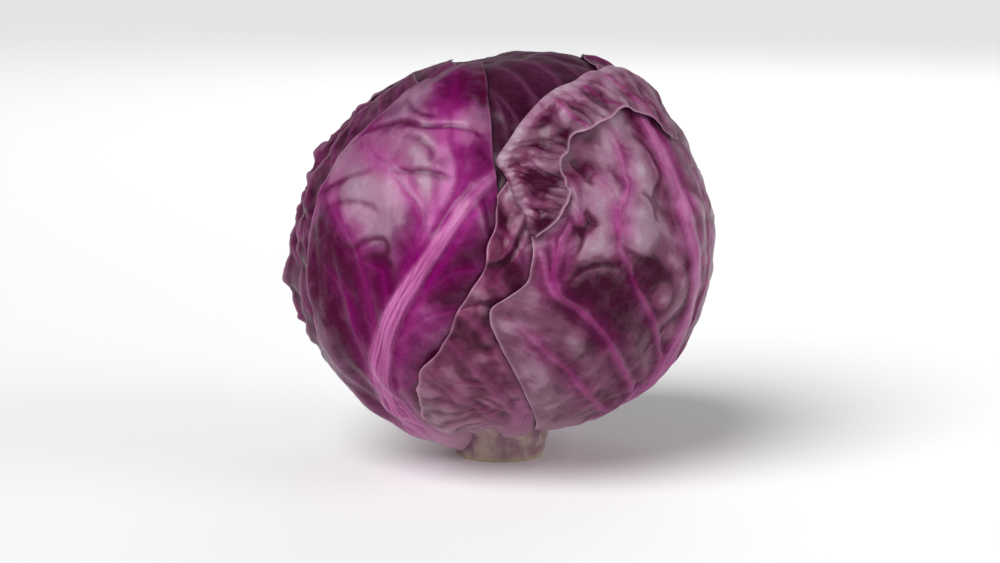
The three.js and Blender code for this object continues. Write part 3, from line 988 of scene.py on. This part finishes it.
class Nodes:
    """Builds the nodes of a material or of the world, up to its main node."""

    def __init__(self, owner, main="Principled BSDF"):
        owner.use_nodes = True
        self.owner = owner
        self.tree = owner.node_tree
        self.main = self.tree.nodes[main]

    def put(self, node, inputs):
        """Links or sets inputs, which are given by name or number."""
        for key, value in inputs.items():
            if isinstance(value, bpy.types.NodeSocket):
                self.tree.links.new(value, node.inputs[key])
            else:
                node.inputs[key].default_value = value

    def add(self, kind, inputs, **settings):
        node = self.tree.nodes.new(kind)
        for key, value in settings.items():
            setattr(node, key, value)
        self.put(node, inputs)
        return node

    def attribute(self, name):
        return self.add("ShaderNodeAttribute", {}, attribute_name=name).outputs["Fac"]

    def math(self, operation, a, b, clamp=False):
        return self.add("ShaderNodeMath", {0: a, 1: b}, operation=operation, use_clamp=clamp).outputs[0]

    def weigh(self, *terms):
        """The sum of value times weight over pairs, kept from 0 to 1."""
        total = 0.0
        for value, weight in terms:
            total = self.math("ADD", self.math("MULTIPLY", value, weight), total)
        return self.math("ADD", total, 0.0, clamp=True)

    def mix(self, factor, first, second):
        return self.add("ShaderNodeMix", {0: factor, 6: first, 7: second}, data_type="RGBA").outputs[2]

    def ramp(self, value, *stops):
        """A colour that changes smoothly over stops of (position, colour)."""
        node = self.add("ShaderNodeValToRGB", {"Fac": value})
        node.color_ramp.interpolation = "EASE"
        elements = node.color_ramp.elements
        while len(elements) < len(stops):
            elements.new(0.5)
        for element, (position, colour) in zip(elements, stops):
            element.position = position
            element.color = colour
        return node.outputs["Color"]

    def spread(self, value, low, high, start=0.0, end=1.0):
        """Goes smoothly from start to end as the value goes from low to high."""
        inputs = {"Value": value, "From Min": low, "From Max": high, "To Min": start, "To Max": end}
        return self.add("ShaderNodeMapRange", inputs, interpolation_type="SMOOTHSTEP").outputs["Result"]

    def noise(self, place, scale, detail, distortion=0.0, output="Fac"):
        inputs = {"Vector": place, "Scale": scale, "Detail": detail, "Distortion": distortion}
        return self.add("ShaderNodeTexNoise", inputs).outputs[output]

    def bump(self, height, strength, distance, **below):
        """A bumpy normal, over the Normal below if there is one."""
        inputs = {"Height": height, "Strength": strength, "Distance": distance, **below}
        return self.add("ShaderNodeBump", inputs).outputs["Normal"]


PALETTES = {
    # deep, skin, bloom and pale: from bare and dark to thick with wax, and deep is also the painted shade in
    # creases, wrinkles and beside the edges over a leaf; low and high: the flush beside veins;
    # vein: the veins; rib: the midrib's crest; rim: the painted highlight along the thin edge; grey: the
    # thickest wax
    "bright": dict(
        deep=(65, 1, 40), skin=(104, 16, 80), bloom=(136, 72, 112), pale=(153, 104, 132),
        low=(122, 0, 94), high=(172, 58, 146), vein=(112, 8, 84), rib=(200, 112, 172), rim=(166, 116, 146),
        grey=(142, 128, 142),
    ),
    "greyed": dict(
        deep=(56, 8, 34), skin=(103, 47, 77), bloom=(146, 102, 128), pale=(167, 140, 156),
        low=(96, 6, 68), high=(168, 56, 136), vein=(124, 16, 92), rib=(172, 90, 146), rim=(195, 151, 178),
        grey=(146, 131, 142),
    ),
    "mauve": dict(
        deep=(41, 6, 26), skin=(78, 33, 59), bloom=(110, 70, 94), pale=(130, 99, 119),
        low=(72, 5, 49), high=(127, 43, 104), vein=(98, 18, 73), rib=(144, 80, 123), rim=(156, 119, 141),
        grey=(120, 106, 118),
    ),
    "dark": dict(
        deep=(52, 9, 31), skin=(98, 37, 67), bloom=(141, 88, 115), pale=(160, 117, 141),
        low=(73, 9, 47), high=(130, 41, 96), vein=(107, 33, 77), rib=(149, 75, 126), rim=(192, 141, 168),
        grey=(130, 114, 126),
    ),
    "crown": dict(
        deep=(39, 1, 24), skin=(54, 6, 36), bloom=(70, 21, 51), pale=(89, 50, 74),
        low=(47, 2, 32), high=(78, 12, 58), vein=(88, 39, 70), rib=(93, 38, 77), rim=(114, 72, 97),
        grey=(66, 30, 52),
    ),
}


PAINTS = ("bloom", "grey", "flush", "vein", "rib", "dark", "shade", "base", "rim", "leaf_x", "leaf_y")
LEAF_BASE = linear(206, 168, 186)
LEAF_SHEEN = linear(226, 205, 224)
# How fine the patterns are, in bumps or cells to the metre
MOTTLE_SCALE = 140.0
SPECKLE_SCALE = 520.0
GRAIN_SCALE = 1600.0
NET_SCALE = 260.0
FIBRE_SCALE = 900.0
BLOTCH_SCALE = 120.0


def vein_net(nodes, place):
    """A net of tiny veins."""
    wander = nodes.noise(place, 160.0, 2.0, output="Color")
    bend = {0: wander, 1: (0.005, 0.005, 0.0), 2: place}
    bent = nodes.add("ShaderNodeVectorMath", bend, operation="MULTIPLY_ADD").outputs[0]
    cells = {"Vector": bent, "Scale": NET_SCALE}
    edge = nodes.add("ShaderNodeTexVoronoi", cells, feature="DISTANCE_TO_EDGE").outputs["Distance"]
    return nodes.spread(edge, 0.12, 0.0)


def leaf_material(name, palette):
    nodes = Nodes(bpy.data.materials.new(name))
    colours = {key: linear(*value) for key, value in palette.items()}
    paint = {key: nodes.attribute(key) for key in PAINTS}
    place = nodes.add("ShaderNodeCombineXYZ", {"X": paint["leaf_x"], "Y": paint["leaf_y"]}).outputs[0]
    mottle = nodes.noise(place, MOTTLE_SCALE, 5.0, 0.4)
    speckle = nodes.noise(place, SPECKLE_SCALE, 4.0)
    grain = nodes.noise(place, GRAIN_SCALE, 2.0)
    net = vein_net(nodes, place)

    # The skin, and the colours that lie over it, each as far as its weights add up to
    light = nodes.weigh((paint["bloom"], 1.0), (mottle, 0.4), (speckle, 0.12), (1.0, -0.26))
    stops = ((0.12, "deep"), (0.42, "skin"), (0.7, "bloom"), (0.95, "pale"))
    skin = nodes.ramp(light, *[(position, colours[key]) for position, key in stops])
    glow = nodes.ramp(light, (0.2, colours["low"]), (0.75, colours["high"]))
    for colour, terms in (
        (colours["grey"], [(nodes.math("MULTIPLY", light, paint["grey"]), 0.6)]),
        (glow, [(paint["flush"], 0.85), (mottle, 0.15), (1.0, -0.08)]),
        (colours["vein"], [(net, 0.12)]),
        (colours["vein"], [(paint["vein"], 0.85)]),
        (colours["rib"], [(paint["rib"], 0.9), (mottle, 0.2), (1.0, -0.1)]),
        # Painted shade: the deep colour over the creases' dips, the roll's wrinkle valleys and beside the
        # edges over a leaf
        (colours["deep"], [(paint["dark"], 0.8), (paint["shade"], 0.9)]),
        (LEAF_BASE, [(paint["base"], 0.8)]),
        # Painted highlight along the thin edges
        (colours["rim"], [(paint["rim"], 0.75)]),
    ):
        skin = nodes.mix(nodes.weigh(*terms), skin, colour)

    fine = nodes.math("ADD", nodes.math("ADD", speckle, mottle), nodes.math("MULTIPLY", grain, 0.4))
    nodes.put(nodes.main, {
        "Base Color": skin,
        "Roughness": nodes.weigh((speckle, 0.12), (mottle, 0.18), (light, 0.12), (1.0, 0.12)),
        "Specular IOR Level": nodes.weigh((light, 0.4), (1.0, 0.06)),
        "Sheen Weight": 0.02,
        "Sheen Roughness": 0.4,
        "Sheen Tint": LEAF_SHEEN,
        "Normal": nodes.bump(fine, 0.25, 0.0003, Normal=nodes.bump(net, 0.05, 0.0002)),
    })
    return nodes.owner


def stem_material():
    nodes = Nodes(bpy.data.materials.new("cut_stem_flesh"))
    place = nodes.add("ShaderNodeTexCoord", {}).outputs["Object"]
    fibres = nodes.noise(place, FIBRE_SCALE, 4.0)
    blotch = nodes.noise(place, BLOTCH_SCALE, 4.0)
    flesh = nodes.mix(blotch, linear(226, 214, 168), linear(204, 190, 138))
    flesh = nodes.mix(nodes.weigh((nodes.attribute("ring"), 0.6)), flesh, linear(170, 152, 92))
    skin = nodes.mix(nodes.spread(blotch, 0.35, 0.7), linear(196, 176, 166), linear(138, 92, 122))
    colour = nodes.mix(nodes.attribute("side"), flesh, skin)
    colour = nodes.mix(nodes.weigh((fibres, 0.35), (1.0, -0.1)), colour, linear(182, 162, 114))
    normal = nodes.bump(fibres, 0.5, 0.0004)
    nodes.put(nodes.main, {"Base Color": colour, "Roughness": 0.7, "Normal": normal})
    return nodes.owner


# ---- heart and stem

HEART_INSET = 0.4  # how far the heart stays under the first leaves' bed
STEM_COLUMNS = 96
STEM_FOOT_INSET = 2.5  # how much less the stem's radius is at its foot than at its top, in millimetres
STEM_FLARE = 0.16  # how much wider it gets towards its top, as a part of the foot's radius
STEM_STEPS = 12
STEM_SCARS = 8
STEM_WORN = 0.6  # how high the foot's worn edge reaches, in millimetres
STEM_RING = 0.72  # where the cut face's woody ring lies, as a part of its radius


def heart_piece(material):
    """The heart, as a closed ball in the head's own shape."""
    rows, columns = 48, 64
    rise = np.linspace(-math.pi / 2, math.pi / 2, rows + 1)[1:-1]
    rise, turn = np.meshgrid(rise, np.linspace(0, 2 * math.pi, columns, endpoint=False), indexing="ij")
    directions = np.stack([np.cos(rise) * np.cos(turn), np.cos(rise) * np.sin(turn), np.sin(rise)], -1)
    directions = np.concatenate([directions.reshape(-1, 3), [[0, 0, -1.0], [0, 0, 1.0]]])
    points = HEAD_CENTRE + directions * (heart_radius(directions) - HEART_INSET)[:, None]
    rings = closed_rings(rows - 1, columns)
    south, north = len(points) - 2, len(points) - 1
    faces = squares(rings)
    faces += [[south, end, start] for start, end in zip(rings[0], rings[0, 1:])]
    faces += [[north, start, end] for start, end in zip(rings[-1], rings[-1, 1:])]
    x, y = points[:, 0] + points[:, 2], points[:, 1] - points[:, 2]
    paint = {"bloom": 0.4 + 0.3 * noise(x / 20, y / 20, 3), "leaf_x": x * MM, "leaf_y": y * MM}
    add_piece("heart_piece", [new_mesh("heart", points, faces, paint)], material, "heart_leaf", "heart")


def stem_piece():
    """The cut stump: a flat, slightly uneven cut face, a worn edge, and scars where lower leaves were."""
    low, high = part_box("cut_stem")
    top_radius, height = (high.x - low.x) / 2 / MM, high.z / MM
    turn = np.linspace(0, 2 * math.pi, STEM_COLUMNS, endpoint=False)
    profile = [(reach, 0.0) for reach in (0.02, 0.3, 0.6, STEM_RING, 0.84, 0.93)]
    profile += [(0.975, 0.2 * STEM_WORN), (1.0, STEM_WORN)]
    climb = np.arange(1, STEM_STEPS + 1) / STEM_STEPS
    profile += list(zip(1.0 + STEM_FLARE * climb, STEM_WORN + (height - STEM_WORN) * climb))
    rings = []
    for reach, rise in profile:
        wobble = 0.035 * noise(3 * np.cos(turn) + 9, 3 * np.sin(turn) + rise / 9, 12)
        scars = 0.05 * bell((turn * STEM_SCARS / (2 * math.pi) + rise / 9) % 1 - 0.5, 0.12)
        radius = (top_radius - STEM_FOOT_INSET) * reach * (1 + wobble * reach)
        radius *= 1 - scars * smoothstep(0.5, 3.0, rise)
        ring = [radius * np.cos(turn), radius * np.sin(turn), np.full(STEM_COLUMNS, rise)]
        rings.append(np.stack(ring, -1))
    points = np.concatenate(rings)
    level = np.hypot(points[:, 0], points[:, 1])
    points[:, :2] *= np.minimum(1.0, (top_radius - 0.1) / np.maximum(level, 1e-6))[:, None]
    rings = closed_rings(len(profile), STEM_COLUMNS)
    faces = squares(rings) + [rings[0, -2::-1].tolist(), rings[-1, :-1].tolist()]
    reach, rise = np.repeat(np.array(profile), STEM_COLUMNS, axis=0).T
    paint = {"ring": bell(reach - STEM_RING, 0.07) * (rise < 0.1), "side": smoothstep(0.1, 1.2, rise)}
    mesh = new_mesh("cut_stem", points, faces, paint)
    add_piece("cut_stem_piece", [mesh], stem_material(), "stem_flesh", "cut_stem")


# ---- build

materials = {name: leaf_material(f"{name}_leaf", palette) for name, palette in PALETTES.items()}
heart_piece(materials["mauve"])
stem_piece()

sheets = []
for leaf in HEART_LEAVES + OUTER_LEAVES:
    sheets.append(lay_leaf(leaf, sheets))
settle(sheets)
for sheet in sheets:
    leaf = sheet["leaf"]
    meshes = [leaf_mesh(sheet)]
    if leaf.name == "front_right_leaf":
        meshes.append(roll_mesh(sheet))
    add_piece(leaf.name + "_piece", meshes, materials[leaf.palette], leaf.slot, leaf.name)

# ---- stage, light and camera

FLOOR_HALF = 40.0
FLOOR_SIDES = ((-1, -1), (1, -1), (1, 1), (-1, 1))
floor_mesh = bpy.data.meshes.new("floor")
floor_mesh.from_pydata([(x * FLOOR_HALF, y * FLOOR_HALF, 0.0) for x, y in FLOOR_SIDES], [], [(0, 1, 2, 3)])
floor = add_object("floor", floor_mesh)
floor_nodes = Nodes(bpy.data.materials.new("pale_floor"))
floor_nodes.put(floor_nodes.main, {"Base Color": (0.9, 0.9, 0.905, 1.0), "Roughness": 0.8})
floor_mesh.materials.append(floor_nodes.owner)


def aim(thing, target, distance, azimuth, elevation):
    """Puts a light or camera at a distance from its target, which it faces. The angles are in degrees."""
    azimuth, elevation = math.radians(azimuth), math.radians(elevation)
    level = math.cos(elevation)
    away = Vector((math.sin(azimuth) * level, -math.cos(azimuth) * level, math.sin(elevation)))
    thing.location = target + distance * away
    thing.rotation_euler = away.to_track_quat("Z", "Y").to_euler()


LAMP_DISTANCE = 1.6


def add_light(name, kind, azimuth, elevation, shiny=True, **settings):
    """A soft light that shines on the head from an azimuth and elevation in degrees."""
    light = bpy.data.lights.new(name, kind)
    for key, value in settings.items():
        setattr(light, key, value)
    lamp = add_object(name, light)
    lamp.visible_glossy = shiny
    aim(lamp, Vector(HEAD_CENTRE * MM), LAMP_DISTANCE, azimuth, elevation)


add_light("key", "SUN", -42, 46, energy=3.3, angle=math.radians(45))
add_light("side", "AREA", 72, 24, energy=9.0, size=1.0)
add_light("back", "AREA", 165, 35, energy=6.0, size=1.2, shiny=False)

# The sky is brighter near the horizon than overhead
world = bpy.data.worlds.new("studio")
bpy.context.scene.world = world
sky = Nodes(world, "Background")
place = sky.add("ShaderNodeTexCoord", {}).outputs["Generated"]
height = sky.add("ShaderNodeSeparateXYZ", {0: place}).outputs["Z"]
strength = sky.spread(height, 0.1, 0.5, 0.3, 0.12)
sky.put(sky.main, {"Color": (1.0, 1.0, 1.0, 1.0), "Strength": strength})

CAMERA_TARGET = Vector((0.0, 0.0, 0.0712))
CAMERA_DISTANCE = 1.1
CAMERA_ELEVATION = 10.0
camera_data = bpy.data.cameras.new("camera")
camera_data.lens = 97.4
camera_data.sensor_width = 36.0
camera = add_object("camera", camera_data)
aim(camera, CAMERA_TARGET, CAMERA_DISTANCE, 0.0, CAMERA_ELEVATION)
bpy.context.scene.camera = camera
bpy.context.scene.view_settings.view_transform = "Standard"
